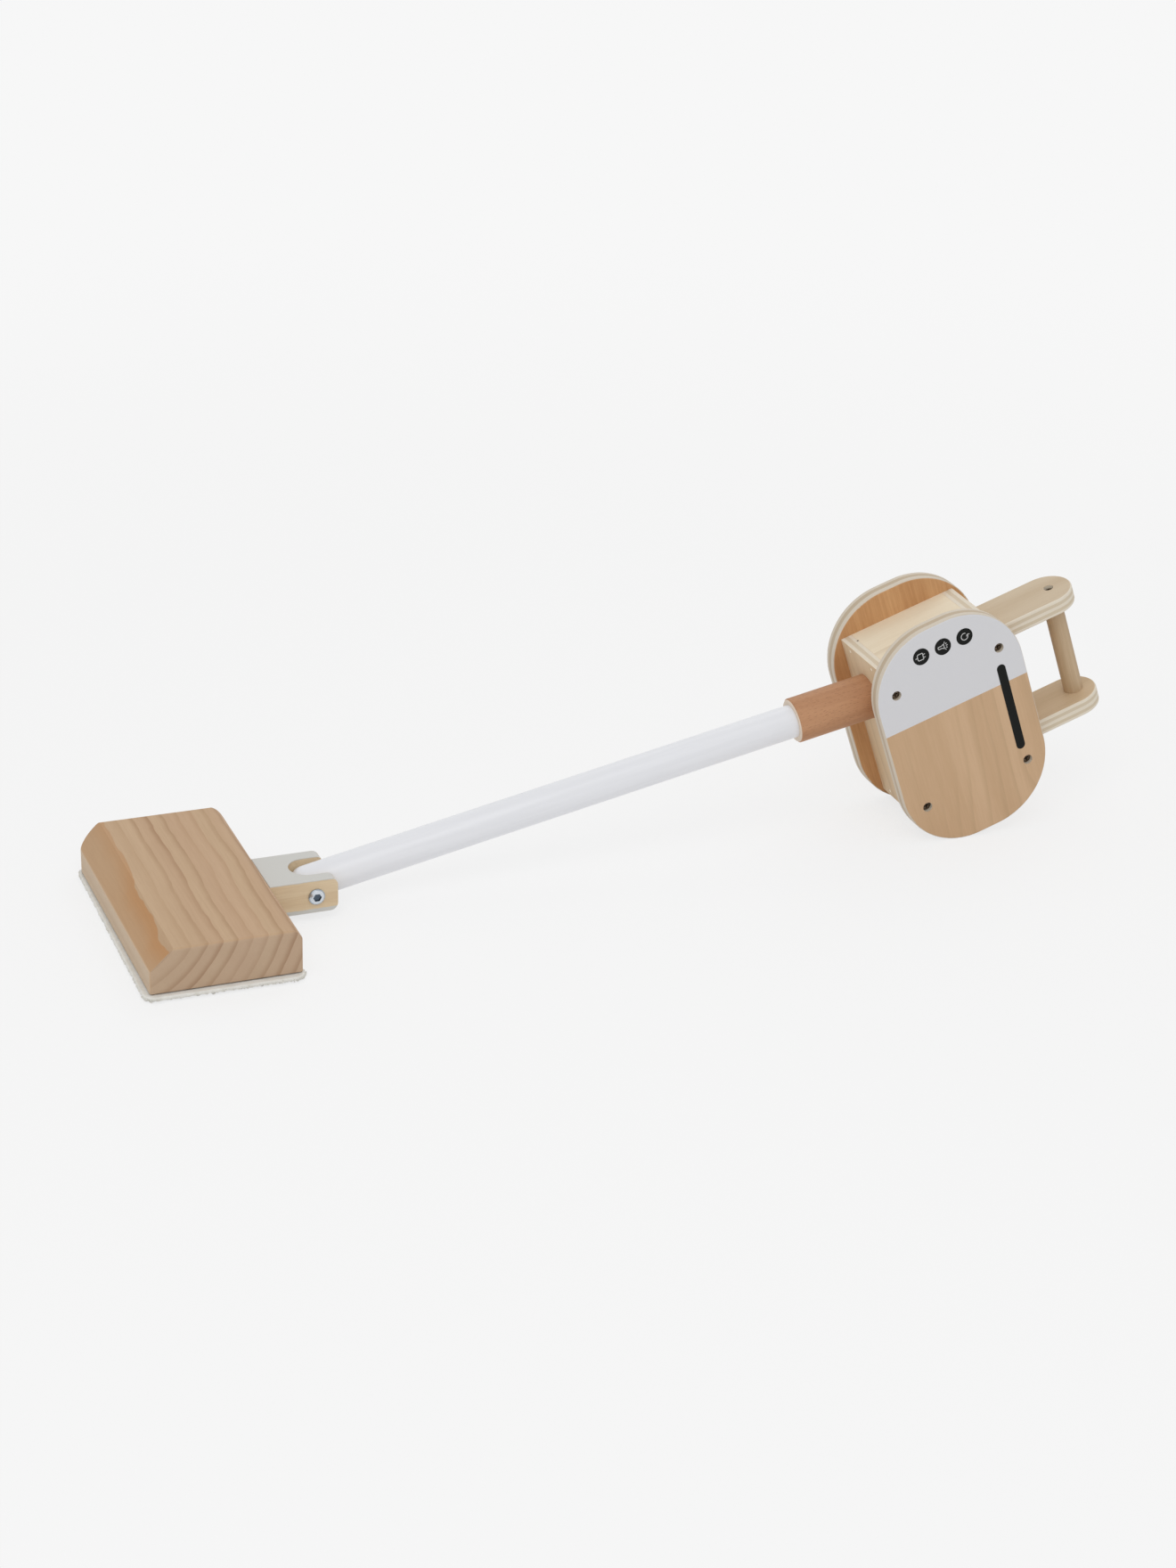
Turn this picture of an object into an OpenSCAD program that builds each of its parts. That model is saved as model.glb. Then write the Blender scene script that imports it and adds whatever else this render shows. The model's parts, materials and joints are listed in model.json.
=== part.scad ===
// Wooden toy stick vacuum cleaner, lying on the floor: the foot lies flat on its
// terry pad and the body rests on the round lower edges of its two side panels.
// X runs from the foot to the handle, Z is up, and the origin is the middle of
// the pad's underside. The left panel, at -Y, is the one with the printed marks.

/* [Foot block] */
// Depth of the foot block, front to back
foot_l = 95; // [80:1:130]
// Width of the foot block
foot_w = 186; // [140:1:260]
// Height of the foot block
foot_h = 28; // [25:1:40]
// Depth of the bevel along the front top edge
bevel_l = 15; // [6:1:24]
// Height of the bevel along the front top edge
bevel_h = 14; // [5:1:16]
// Radius of the round back top edge
back_edge_r = 8; // [3:0.5:10]
// Radius of the upright corners at the near end, and of the end edges
foot_edge_r = 2; // [1:0.5:4]
// Radius of the upright corners at the far end
far_corner_r = 12; // [4:1:16]

/* [Cleaning pad] */
// Thickness of the terry pad
pad_t = 4; // [3:0.5:8]
// How far the pad stands out past the block on every side
pad_over = 2; // [0:0.5:5]
// Corner radius of the pad at its near end
pad_corner_r = 7; // [3:0.5:15]
// Radius of the pad's soft rim
pad_rim_r = 1.5; // [0.5:0.25:1.5]
// Thickness of the hook strips between pad and block
strip_t = 1; // [0.6:0.1:2]
// Width of one hook strip
strip_w = 25; // [15:1:34]
// Distance from the strips' outer edges to the block's edges
strip_inset = 10; // [5:1:14]

/* [Hinge block] */
// Thickness of each prong
prong_t = 9.2; // [7:0.1:14]
// Height of the hinge block
hinge_h = 22; // [18:0.5:23]
// Height of the hinge block's underside above the foot block's underside
hinge_lift = 0.5; // [0:0.25:1.5]
// Distance from the foot's back face to the pivot
pivot_back = 30; // [28:0.5:45]
// Distance from the pivot to the prong ends
prong_end = 14; // [10:0.5:20]
// Radius of the prong ends' corners
prong_r = 5; // [2:0.5:8]
// Gap between the stick and the slot's walls
slot_gap = 0.8; // [0.5:0.1:1]
// Diameter of the two dowels between hinge block and foot
dowel_d = 8; // [6:0.5:10]
// Depth of the dowels in the foot
dowel_in_foot = 19; // [12:1:30]
// Distance between the two dowels' axes
dowel_span = 21; // [12:1:28]
// Wood left between the dowels and the slot
dowel_wall = 3; // [2:0.5:5]

/* [Pivot] */
// Diameter of the barrel of the pivot nut
barrel_d = 6; // [5:0.5:8]
// Diameter of the pivot bolt's shank
pivot_shank_d = 4; // [3:0.5:4]
// Length of the pivot bolt's shank
pivot_shank_l = 22; // [14:1:28]
// Diameter of the round heads
head_d = 10.5; // [9:0.5:13]
// Height of the round heads
head_t = 2.4; // [1.5:0.1:3.5]
// Height of the round heads' straight rims
head_rim_t = 0.8; // [0.4:0.1:1.2]
// Hexagon socket across its corners
hex_d = 5.6; // [4:0.2:7]
// Depth of the hexagon socket
hex_depth = 1.4; // [0.8:0.1:1.4]
// Gap between the barrel's end and the bolt's head
barrel_gap = 1; // [0.5:0.25:2]
// Radial clearance of the turning pivot
pivot_gap = 0.06; // [0.03:0.01:0.1]

/* [Wand] */
// Diameter of the stick
stick_d = 22; // [18:0.5:26]
// Length of the stick from the pivot to the sleeve
stick_l = 337; // [240:1:420]
// Depth of the stick in the sleeve
stick_in = 60; // [30:1:80]
// Wall of the sleeve round the stick
sleeve_wall = 4; // [3:0.5:5]
// Length of the sleeve in front of the body
sleeve_l = 57; // [40:1:90]
// Depth of the sleeve in the block behind the front plate
sleeve_in = 28; // [20:1:34]
// Chamfer of the sleeve's front rim
sleeve_chamfer = 1.2; // [0.4:0.2:2]
// Radial glue gap of the round wooden joints
glue_gap = 0.05; // [0.02:0.01:0.1]

/* [Body box] */
// Length of the box, front to back
box_l = 84; // [80:1:120]
// Height of the box
box_h = 120; // [105:1:150]
// Thickness of the box's plates
plate_t = 8; // [7:0.5:10]
// Distance from the box's top down to the wand's axis at the front plate
axis_drop = 31; // [29:0.5:40]
// Angle by which the body is tipped up from the wand
body_angle = 7.5; // [0:0.5:10]
// Wood under the sleeve in the block behind the front plate
block_wall = 6; // [4:0.5:12]
// Wood behind the sleeve's end in that block
block_back = 6; // [4:0.5:7]

/* [Side panels] */
// Length of a side panel, front to back
panel_l = 106; // [100:1:130]
// Height of a side panel
panel_h = 160; // [145:1:190]
// Thickness of a side panel
panel_t = 11; // [9:0.5:14]
// Radius of the panel's corners
panel_r = 46; // [25:1:49]
// Radius of the panel's rim
panel_rim_r = 1.2; // [0.6:0.2:2]

/* [Panel screws and pins] */
// Diameter of a screw's head
screw_head_d = 6; // [5:0.25:7]
// Height of a screw's head
screw_head_t = 2.2; // [1.5:0.1:3]
// Length of the cross recess in a screw's head
recess_l = 3.6; // [2:0.1:4.5]
// Width of the cross recess
recess_w = 1; // [0.6:0.1:1.4]
// Depth of the cross recess
recess_depth = 1.3; // [0.6:0.1:1.4]
// Diameter of a screw's shank
screw_d = 3.4; // [2.6:0.1:4]
// Depth of the recess over a panel screw
screw_sink = 2.8; // [0.4:0.2:4]
// Depth of a panel screw in the plate behind the panel
screw_bite = 8; // [5:0.5:8.5]
// Distance from the box's top or bottom to the panel screws
screw_inset = 16; // [14:0.5:20]
// Radial clearance of the screws' recesses
screw_gap = 0.3; // [0.2:0.05:0.5]
// Diameter of a pin
pin_d = 2; // [1.4:0.2:2.6]
// Depth of a pin in the plate behind
pin_bite = 22; // [12:1:26]
// Distance between the two pins of a pair
pin_span = 32; // [20:1:40]

/* [Handle] */
// Width of an arm
arm_w = 37; // [32:1:44]
// Thickness of an arm
arm_t = 11.5; // [10:0.5:14]
// How far the arms reach out behind the body
arm_out = 70; // [60:1:100]
// Depth of an arm behind the back plate's inner face
arm_in = 14; // [8:1:16]
// Distance from the box's top or bottom to the arms
arm_inset = 14.3; // [12:0.1:20]
// Distance from an arm's side to the side panel
arm_gap = 10; // [9:0.5:20]
// Radius of the arms' edges
arm_edge_r = 1.5; // [0.5:0.25:3]
// Diameter of the grip
grip_d = 13; // [11:0.5:18]
// Distance from the arms' ends to the grip's axis
grip_back = 15; // [12:0.5:22]
// Depth of the grip in each arm
grip_in = 4; // [2:0.5:4.5]
// Depth of the recess over a grip screw
grip_screw_sink = 2.4; // [0.4:0.2:3]
// Depth of a grip screw in the grip
grip_screw_bite = 18; // [10:1:24]

/* [Hidden] */
$fn = 64;
over = 1;

pine = [0.77, 0.66, 0.50];
beech = [0.72, 0.54, 0.40];
ply = [0.80, 0.70, 0.56];
lacquer = [0.88, 0.89, 0.90];
paint = [0.80, 0.80, 0.81];
steel = [0.66, 0.66, 0.68];
terry = [0.90, 0.90, 0.87];
hook_tape = [0.85, 0.85, 0.83];

// Widths that follow from the stick and the arms
sleeve_d = stick_d + 2 * sleeve_wall;
slot_w = stick_d + 2 * slot_gap;
hinge_w = slot_w + 2 * prong_t;
box_w = arm_w + 2 * arm_gap;

// Heights of the foot and place of the pivot
foot_z = pad_t + strip_t;
pivot_x = foot_l / 2 + pivot_back;
pivot_z = foot_z + hinge_lift + hinge_h / 2;

// Dowels between the hinge block and the foot
dowel_in_hinge = pivot_back - slot_w / 2 - dowel_wall;

// The box's own frame: its origin is where the wand's axis meets the front plate
wand_l = stick_l + sleeve_l;
box_top = axis_drop;
box_bottom = axis_drop - box_h;
box_mid_x = box_l / 2;
box_mid_z = (box_top + box_bottom) / 2;
panel_y = box_w / 2 + panel_t / 2;

// Arms and grip in the box's frame
arm_start_x = box_l - plate_t - arm_in;
arm_l = arm_in + plate_t + arm_out;
upper_arm_z = box_top - arm_inset - arm_t / 2;
lower_arm_z = box_bottom + arm_inset + arm_t / 2;
grip_x = box_l + arm_out - grip_back;
grip_l = upper_arm_z - lower_arm_z - arm_t + 2 * grip_in;

// Block that holds the sleeve behind the front plate
block_l = sleeve_in + block_back;
block_bottom = -sleeve_d / 2 - block_wall - (plate_t + block_l) * tan(body_angle);

// Angle at which the wand lies when the panels' lower front corners touch the floor
corner_x = box_mid_x - panel_l / 2 + panel_r;
corner_z = box_mid_z - panel_h / 2 + panel_r;
corner_along = wand_l + corner_x * cos(body_angle) - corner_z * sin(body_angle);
corner_across = corner_x * sin(body_angle) + corner_z * cos(body_angle);
corner_reach = sqrt(corner_along * corner_along + corner_across * corner_across);
wand_angle = asin((panel_r - pivot_z) / corner_reach) - atan2(corner_across, corner_along);

// Frames of the wand and the body
module in_wand() {
    translate([pivot_x, 0, pivot_z]) rotate([0, -wand_angle, 0]) children();
}

module in_body() {
    in_wand() translate([wand_l, 0, 0]) rotate([0, -body_angle, 0]) children();
}

// An outline drawn in Y and Z, run along X
module along_x(length) {
    rotate([90, 0, 90]) linear_extrude(length) children();
}

// An outline drawn in X and Z, run along Y to both sides
module along_y(width) {
    rotate([90, 0, 0]) linear_extrude(width, center = true) children();
}

// A round bar along X
module bar_x(diameter, length) {
    rotate([0, 90, 0]) cylinder(d = diameter, h = length);
}

// A rectangle with round corners about its middle
module rounded_rect(length, height, radius) {
    square([length - 2 * radius, height], center = true);
    square([length, height - 2 * radius], center = true);
    for (i = [-1, 1], k = [-1, 1]) {
        translate([i * (length / 2 - radius), k * (height / 2 - radius)]) circle(radius);
    }
}

// A disc with round rims, about its middle
module eased_disc(radius, thickness, rim) {
    rotate_extrude() intersection() {
        rounded_rect(2 * radius, thickness, rim);
        translate([0, -thickness / 2]) square([radius, thickness]);
    }
}

// An upright plate in X and Z with round corners and round rims
module eased_panel(length, height, thickness, radius, rim) {
    translate([radius - length / 2, 0, 0]) {
        along_x(length - 2 * radius) rounded_rect(thickness, height, rim);
    }
    linear_extrude(height - 2 * radius, center = true) rounded_rect(length, thickness, rim);
    for (i = [-1, 1], k = [-1, 1]) {
        translate([i * (length / 2 - radius), 0, k * (height / 2 - radius)])
            rotate([90, 0, 0]) eased_disc(radius, thickness, rim);
    }
}

// A screw pointing down, with its head's top at the origin and a cross recess
module screw(length) {
    difference() {
        translate([0, 0, -screw_head_t]) cylinder(d = screw_head_d, h = screw_head_t);
        for (turn = [0, 90]) {
            rotate([0, 0, turn]) translate([-recess_l / 2, -recess_w / 2, -recess_depth])
                cube([recess_l, recess_w, recess_depth + over]);
        }
    }
    translate([0, 0, -screw_head_t - length]) cylinder(d = screw_d, h = length);
}

// The hole for a screw pointing down from a surface at the origin
module screw_hole(sink, depth) {
    head_room = sink + screw_head_t;
    translate([0, 0, -head_room]) {
        cylinder(d = screw_head_d + 2 * screw_gap, h = head_room + over);
    }
    translate([0, 0, -depth]) cylinder(d = screw_d + 2 * glue_gap, h = depth + over);
}

// Foot
module foot_outline() {
    front_x = -foot_l / 2;
    back_x = foot_l / 2;
    difference() {
        polygon([
            [front_x, 0], [back_x, 0], [back_x, foot_h],
            [front_x + bevel_l, foot_h], [front_x, foot_h - bevel_h]
        ]);
        translate([back_x - back_edge_r, foot_h - back_edge_r]) difference() {
            square(back_edge_r + over);
            circle(back_edge_r);
        }
    }
}

// The foot from above: its far corners are rounder than its near ones
module foot_plan(extra, near_r) {
    far_r = far_corner_r + extra;
    plan_l = foot_l + 2 * extra;
    plan_w = foot_w + 2 * extra;
    intersection() {
        rounded_rect(plan_l, plan_w, near_r);
        translate([0, -far_r]) rounded_rect(plan_l, plan_w + 2 * far_r, far_r);
    }
}

module dowel_pair(extra) {
    start_x = foot_l / 2 - dowel_in_foot - extra;
    for (side = [-1, 1]) {
        translate([start_x, side * dowel_span / 2, pivot_z])
            bar_x(dowel_d + 2 * extra, dowel_in_foot + dowel_in_hinge + 2 * extra);
    }
}

module foot_block() {
    color(pine) difference() {
        translate([0, 0, foot_z]) intersection() {
            along_y(foot_w) foot_outline();
            linear_extrude(foot_h) foot_plan(0, foot_edge_r);
            translate([-foot_l / 2, 0, 0]) along_x(foot_l) rounded_rect(foot_w, 2 * foot_h, foot_edge_r);
        }
        dowel_pair(glue_gap);
    }
}

module cleaning_pad() {
    pad_l = foot_l + 2 * pad_over;
    pad_w = foot_w + 2 * pad_over;
    color(terry) translate([0, 0, pad_t / 2]) intersection() {
        linear_extrude(pad_t, center = true) foot_plan(pad_over, pad_corner_r);
        along_y(pad_w) rounded_rect(pad_l, pad_t, pad_rim_r);
        translate([-pad_l / 2, 0, 0]) along_x(pad_l) rounded_rect(pad_w, pad_t, pad_rim_r);
    }
}

module hook_strips() {
    strip_l = foot_w - 2 * strip_inset;
    strip_x = foot_l / 2 - strip_inset - strip_w / 2;
    color(hook_tape) for (side = [-1, 1]) {
        translate([side * strip_x - strip_w / 2, -strip_l / 2, pad_t]) cube([strip_w, strip_l, strip_t]);
    }
}

// Hinge block and pivot
module hinge_outline() {
    back_x = prong_end - prong_r;
    translate([-pivot_back, -hinge_h / 2]) square([pivot_back + back_x, hinge_h]);
    translate([0, prong_r - hinge_h / 2]) square([prong_end, hinge_h - 2 * prong_r]);
    for (side = [-1, 1]) {
        translate([back_x, side * (hinge_h / 2 - prong_r)]) circle(prong_r);
    }
}

module hinge_block() {
    color(pine) difference() {
        translate([pivot_x, 0, pivot_z]) difference() {
            along_y(hinge_w) hinge_outline();
            cylinder(d = slot_w, h = hinge_h + 2 * over, center = true);
            translate([0, -slot_w / 2, -hinge_h / 2 - over]) {
                cube([prong_end + over, slot_w, hinge_h + 2 * over]);
            }
            rotate([90, 0, 0]) cylinder(d = barrel_d + 2 * pivot_gap, h = hinge_w + 2 * over, center = true);
        }
        dowel_pair(glue_gap);
    }
}

module hinge_dowels() {
    color(beech) dowel_pair(0);
}

// A low domed head standing on the plane at the origin
module round_head() {
    dome_h = head_t - head_rim_t;
    dome_r = (head_d * head_d / 4 + dome_h * dome_h) / (2 * dome_h);
    intersection() {
        cylinder(d = head_d, h = head_t);
        translate([0, 0, head_t - dome_r]) sphere(dome_r);
    }
}

module pivot_nut() {
    barrel_l = hinge_w - barrel_gap;
    bore_depth = pivot_shank_l + barrel_gap;
    color(steel) translate([pivot_x, hinge_w / 2, pivot_z]) rotate([-90, 0, 0]) {
        difference() {
            union() {
                round_head();
                translate([0, 0, -barrel_l]) cylinder(d = barrel_d, h = barrel_l);
            }
            translate([0, 0, -hinge_w]) cylinder(d = pivot_shank_d + 2 * glue_gap, h = bore_depth);
        }
    }
}

module pivot_bolt() {
    color(steel) translate([pivot_x, -hinge_w / 2, pivot_z]) rotate([90, 0, 0]) {
        difference() {
            round_head();
            translate([0, 0, head_t - hex_depth]) cylinder(d = hex_d, h = hex_depth + over, $fn = 6);
        }
        translate([0, 0, -pivot_shank_l]) cylinder(d = pivot_shank_d, h = pivot_shank_l);
    }
}

// Wand
module stick() {
    color(lacquer) in_wand() difference() {
        union() {
            sphere(d = stick_d);
            bar_x(stick_d, stick_l + stick_in);
        }
        rotate([90, 0, 0]) cylinder(d = barrel_d + 2 * pivot_gap, h = stick_d + 2 * over, center = true);
    }
}

module sleeve_hole() {
    rotate([0, body_angle, 0]) {
        translate([-sleeve_l, 0, 0]) bar_x(sleeve_d + 2 * glue_gap, sleeve_l + plate_t + sleeve_in);
    }
}

module sleeve() {
    body_l = sleeve_l + plate_t + sleeve_in;
    color(beech) in_wand() translate([stick_l, 0, 0]) difference() {
        union() {
            translate([sleeve_chamfer, 0, 0]) bar_x(sleeve_d, body_l - sleeve_chamfer);
            rotate([0, 90, 0]) {
                cylinder(d1 = sleeve_d - 2 * sleeve_chamfer, d2 = sleeve_d, h = sleeve_chamfer);
            }
        }
        translate([-over, 0, 0]) bar_x(stick_d + 2 * glue_gap, stick_in + over);
    }
}

module wand_block() {
    block_h = box_top - plate_t - block_bottom;
    color(pine) in_body() difference() {
        translate([plate_t, -box_w / 2, block_bottom]) cube([block_l, box_w, block_h]);
        sleeve_hole();
    }
}

// Box
module end_pins(plate_x, inward) {
    for (side = [-1, 1], z = [box_top - plate_t / 2, box_bottom + plate_t / 2]) {
        translate([plate_x, side * pin_span / 2, z]) mirror([inward < 0 ? 1 : 0, 0, 0]) children();
    }
}

module pin_holes(plate_x, inward) {
    end_pins(plate_x, inward) {
        translate([-over, 0, 0]) bar_x(pin_d + 2 * glue_gap, plate_t + pin_bite + over);
    }
}

module panel_screw_places(side) {
    for (x = [plate_t / 2, box_l - plate_t / 2], z = [box_top - screw_inset, box_bottom + screw_inset]) {
        translate([x, side * (box_w / 2 + panel_t), z]) rotate([-90 * side, 0, 0]) children();
    }
}

module panel_screw_holes() {
    for (side = [-1, 1]) {
        panel_screw_places(side) screw_hole(screw_sink, panel_t + screw_bite);
    }
}

module end_plate(x) {
    translate([x, -box_w / 2, box_bottom]) cube([plate_t, box_w, box_h]);
}

module front_plate() {
    color(ply) in_body() difference() {
        end_plate(0);
        sleeve_hole();
        pin_holes(0, 1);
        panel_screw_holes();
    }
}

module back_plate() {
    color(ply) in_body() difference() {
        end_plate(box_l - plate_t);
        for (z = [upper_arm_z, lower_arm_z]) {
            translate([box_l - plate_t - over, 0, z]) along_x(plate_t + 2 * over)
                rounded_rect(arm_w + 2 * glue_gap, arm_t + 2 * glue_gap, arm_edge_r);
        }
        pin_holes(box_l, -1);
        panel_screw_holes();
    }
}

module level_plate(z) {
    difference() {
        translate([plate_t, -box_w / 2, z]) cube([box_l - 2 * plate_t, box_w, plate_t]);
        pin_holes(0, 1);
        pin_holes(box_l, -1);
    }
}

module top_plate() {
    color(ply) in_body() level_plate(box_top - plate_t);
}

module bottom_plate() {
    color(ply) in_body() level_plate(box_bottom);
}

module side_panel(side) {
    in_body() difference() {
        translate([box_mid_x, side * panel_y, box_mid_z])
            eased_panel(panel_l, panel_h, panel_t, panel_r, panel_rim_r);
        panel_screw_holes();
    }
}

module left_panel() {
    color(paint) side_panel(-1);
}

module right_panel() {
    color(paint) side_panel(1);
}

module panel_screws(side) {
    shank_l = panel_t - screw_sink - screw_head_t + screw_bite;
    color(steel) in_body() panel_screw_places(side) translate([0, 0, -screw_sink]) screw(shank_l);
}

module left_panel_screws() {
    panel_screws(-1);
}

module right_panel_screws() {
    panel_screws(1);
}

module front_plate_pins() {
    color(ply) in_body() end_pins(0, 1) bar_x(pin_d, plate_t + pin_bite);
}

module back_plate_pins() {
    color(ply) in_body() end_pins(box_l, -1) bar_x(pin_d, plate_t + pin_bite);
}

// Handle: outward is 1 for the upper arm and -1 for the lower one
module arm(z, outward) {
    round_x = arm_l - arm_w / 2;
    in_body() difference() {
        translate([arm_start_x, 0, z]) {
            along_x(round_x) rounded_rect(arm_w, arm_t, arm_edge_r);
            translate([round_x, 0, 0]) eased_disc(arm_w / 2, arm_t, arm_edge_r);
        }
        grip_bar(glue_gap);
        grip_screw_place(z, outward) screw_hole(grip_screw_sink, arm_t);
    }
}

module grip_screw_place(z, outward) {
    translate([grip_x, 0, z + outward * arm_t / 2]) rotate([outward > 0 ? 0 : 180, 0, 0]) children();
}

module grip_bar(extra) {
    translate([grip_x, 0, lower_arm_z + arm_t / 2 - grip_in]) {
        cylinder(d = grip_d + 2 * extra, h = grip_l);
    }
}

module upper_arm() {
    color(ply) arm(upper_arm_z, 1);
}

module lower_arm() {
    color(ply) arm(lower_arm_z, -1);
}

module grip() {
    pilot_depth = arm_t - grip_in + grip_screw_bite;
    color(beech) in_body() difference() {
        grip_bar(0);
        grip_screw_place(upper_arm_z, 1) screw_hole(grip_screw_sink, pilot_depth);
        grip_screw_place(lower_arm_z, -1) screw_hole(grip_screw_sink, pilot_depth);
    }
}

module grip_screws() {
    // The shank runs through the wood left over the grip's end and into the grip
    shank_l = arm_t - grip_in - grip_screw_sink - screw_head_t + grip_screw_bite;
    color(steel) in_body() {
        grip_screw_place(upper_arm_z, 1) translate([0, 0, -grip_screw_sink]) screw(shank_l);
        grip_screw_place(lower_arm_z, -1) translate([0, 0, -grip_screw_sink]) screw(shank_l);
    }
}

foot_block();
cleaning_pad();
hook_strips();
hinge_block();
hinge_dowels();
pivot_nut();
pivot_bolt();
stick();
sleeve();
wand_block();
front_plate();
back_plate();
top_plate();
bottom_plate();
left_panel();
right_panel();
left_panel_screws();
right_panel_screws();
front_plate_pins();
back_plate_pins();
upper_arm();
lower_arm();
grip();
grip_screws();
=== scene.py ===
import json
import math
import random

import bmesh
import bpy
from mathutils import Euler, Matrix, Vector, noise as softNoise


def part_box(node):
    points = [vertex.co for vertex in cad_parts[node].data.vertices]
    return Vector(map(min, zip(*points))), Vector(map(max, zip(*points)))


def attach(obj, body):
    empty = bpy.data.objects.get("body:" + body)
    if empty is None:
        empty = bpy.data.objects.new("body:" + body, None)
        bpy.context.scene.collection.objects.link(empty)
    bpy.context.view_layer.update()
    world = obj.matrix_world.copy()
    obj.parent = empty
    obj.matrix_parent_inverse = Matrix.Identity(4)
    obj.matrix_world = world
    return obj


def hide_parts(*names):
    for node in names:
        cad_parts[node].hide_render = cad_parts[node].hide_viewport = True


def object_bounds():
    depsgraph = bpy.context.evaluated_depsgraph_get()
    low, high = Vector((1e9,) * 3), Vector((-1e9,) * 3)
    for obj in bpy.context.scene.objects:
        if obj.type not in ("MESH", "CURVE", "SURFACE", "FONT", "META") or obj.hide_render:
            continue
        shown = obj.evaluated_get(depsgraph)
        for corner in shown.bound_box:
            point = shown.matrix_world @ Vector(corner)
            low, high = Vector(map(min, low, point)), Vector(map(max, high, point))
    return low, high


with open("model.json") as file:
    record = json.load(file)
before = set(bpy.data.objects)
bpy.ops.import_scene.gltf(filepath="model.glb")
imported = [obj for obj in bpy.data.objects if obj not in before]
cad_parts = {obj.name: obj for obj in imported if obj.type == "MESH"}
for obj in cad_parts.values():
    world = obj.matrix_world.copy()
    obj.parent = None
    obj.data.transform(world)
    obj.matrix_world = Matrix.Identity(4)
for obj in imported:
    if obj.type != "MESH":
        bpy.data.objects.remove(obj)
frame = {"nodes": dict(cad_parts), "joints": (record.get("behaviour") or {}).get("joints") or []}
cadLow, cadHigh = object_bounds()
nodes = frame["nodes"]
mm = 0.001
axisX, axisY, axisZ = range(3)
print("frame loaded:", len(nodes), "nodes")


# Places that come from the frame: the hinge, the wand's line and the body's tilt
def pointsOf(nodeName):
    return [v.co.copy() for v in nodes[nodeName].data.vertices]


def middleOf(nodeName):
    low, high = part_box(nodeName)
    return (low + high) / 2


pivot = Vector(frame["joints"][0]["pos_m"])
rimDepth = 0.2 * mm  # points this close to the stick's far end lie on its rim
stickReach = max((p - pivot).length for p in pointsOf("stick"))
stickRim = [p for p in pointsOf("stick") if (p - pivot).length > stickReach - rimDepth]
stickLine = sum(stickRim, Vector()) / len(stickRim) - pivot
wandTilt = math.atan2(stickLine.z, stickLine.x)
topFront = min(pointsOf("top_plate"), key=lambda p: p.x)
topBack = max(pointsOf("top_plate"), key=lambda p: p.z)
bodyTilt = math.atan2(topBack.z - topFront.z, topBack.x - topFront.x)
bodyMiddle = Vector((middleOf("left_panel").x, 0, middleOf("left_panel").z))
footMiddle = Vector((0, 0, middleOf("foot_block").z))
print("wand tilt", round(math.degrees(wandTilt), 2), "body tilt", round(math.degrees(bodyTilt), 2))

# Each grain runs in the frame of the body that it belongs to
footFrame = dict(origin=footMiddle, tilt=0.0)
hingeFrame = dict(origin=pivot, tilt=0.0)
wandFrame = dict(origin=pivot, tilt=wandTilt)
bodyFrame = dict(origin=bodyMiddle, tilt=bodyTilt)


# A node's low and high corner in one of these frames
def ownBox(nodeName, place):
    turn = Matrix.Rotation(place["tilt"], 4, "Y") @ Matrix.Translation(-place["origin"])
    points = [turn @ p for p in pointsOf(nodeName)]
    low = Vector([min(p[i] for p in points) for i in range(3)])
    high = Vector([max(p[i] for p in points) for i in range(3)])
    return low, high


# Shader wires: arithmetic on a wire adds Math nodes, and node() adds any other node
class Wire:
    def __init__(self, tree, socket=None):
        self.tree = tree
        self.socket = socket

    # The node's type and settings, then what goes into its sockets
    def node(self, kind, settings=None, sockets=None, out=0):
        node = self.tree.nodes.new(kind)
        for key, value in (settings or {}).items():
            setattr(node, key, value)
        for key, value in (sockets or {}).items():
            if isinstance(value, Wire):
                self.tree.links.new(value.socket, node.inputs[key])
            else:
                node.inputs[key].default_value = value
        return Wire(self.tree, node.outputs[out] if node.outputs else None)

    def math(self, operation, *others):
        return self.node("ShaderNodeMath", dict(operation=operation), dict(enumerate([self, *others])))

    def swapped(self, operation, other):
        return self.node("ShaderNodeMath", dict(operation=operation), {0: other, 1: self})

    def __add__(self, other):
        return self.math("ADD", other)

    def __radd__(self, other):
        return self.math("ADD", other)

    def __sub__(self, other):
        return self.math("SUBTRACT", other)

    def __rsub__(self, other):
        return self.swapped("SUBTRACT", other)

    def __mul__(self, other):
        return self.math("MULTIPLY", other)

    def __rmul__(self, other):
        return self.math("MULTIPLY", other)

    def __truediv__(self, other):
        return self.math("DIVIDE", other)

    def __abs__(self):
        return self.math("ABSOLUTE")


# A colour as it is read off a screen, 0 to 255, made linear
def tint(red, green, blue):
    def linear(value):
        share = value / 255
        return share / 12.92 if share <= 0.04045 else ((share + 0.055) / 1.055) ** 2.4
    return (linear(red), linear(green), linear(blue), 1.0)


def combine(wires, x, y, z):
    return wires.node("ShaderNodeCombineXYZ", None, {0: x, 1: y, 2: z})


def parts(vector):
    return [vector.node("ShaderNodeSeparateXYZ", None, {0: vector}, out=i) for i in range(3)]


def scaled(axes, scales):
    x, y, z = [axis * scale for axis, scale in zip(axes, scales)]
    return combine(x, x, y, z)


def softStep(value, low, high):
    sockets = {"Value": value, "From Min": low, "From Max": high}
    return value.node("ShaderNodeMapRange", dict(interpolation_type="SMOOTHSTEP"), sockets)


# The Mix node has sockets for every kind of data: 6, 7 and output 2 are its colours
def mixColour(factor, first, second):
    return factor.node("ShaderNodeMix", dict(data_type="RGBA"), {0: factor, 6: first, 7: second}, out=2)


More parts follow.
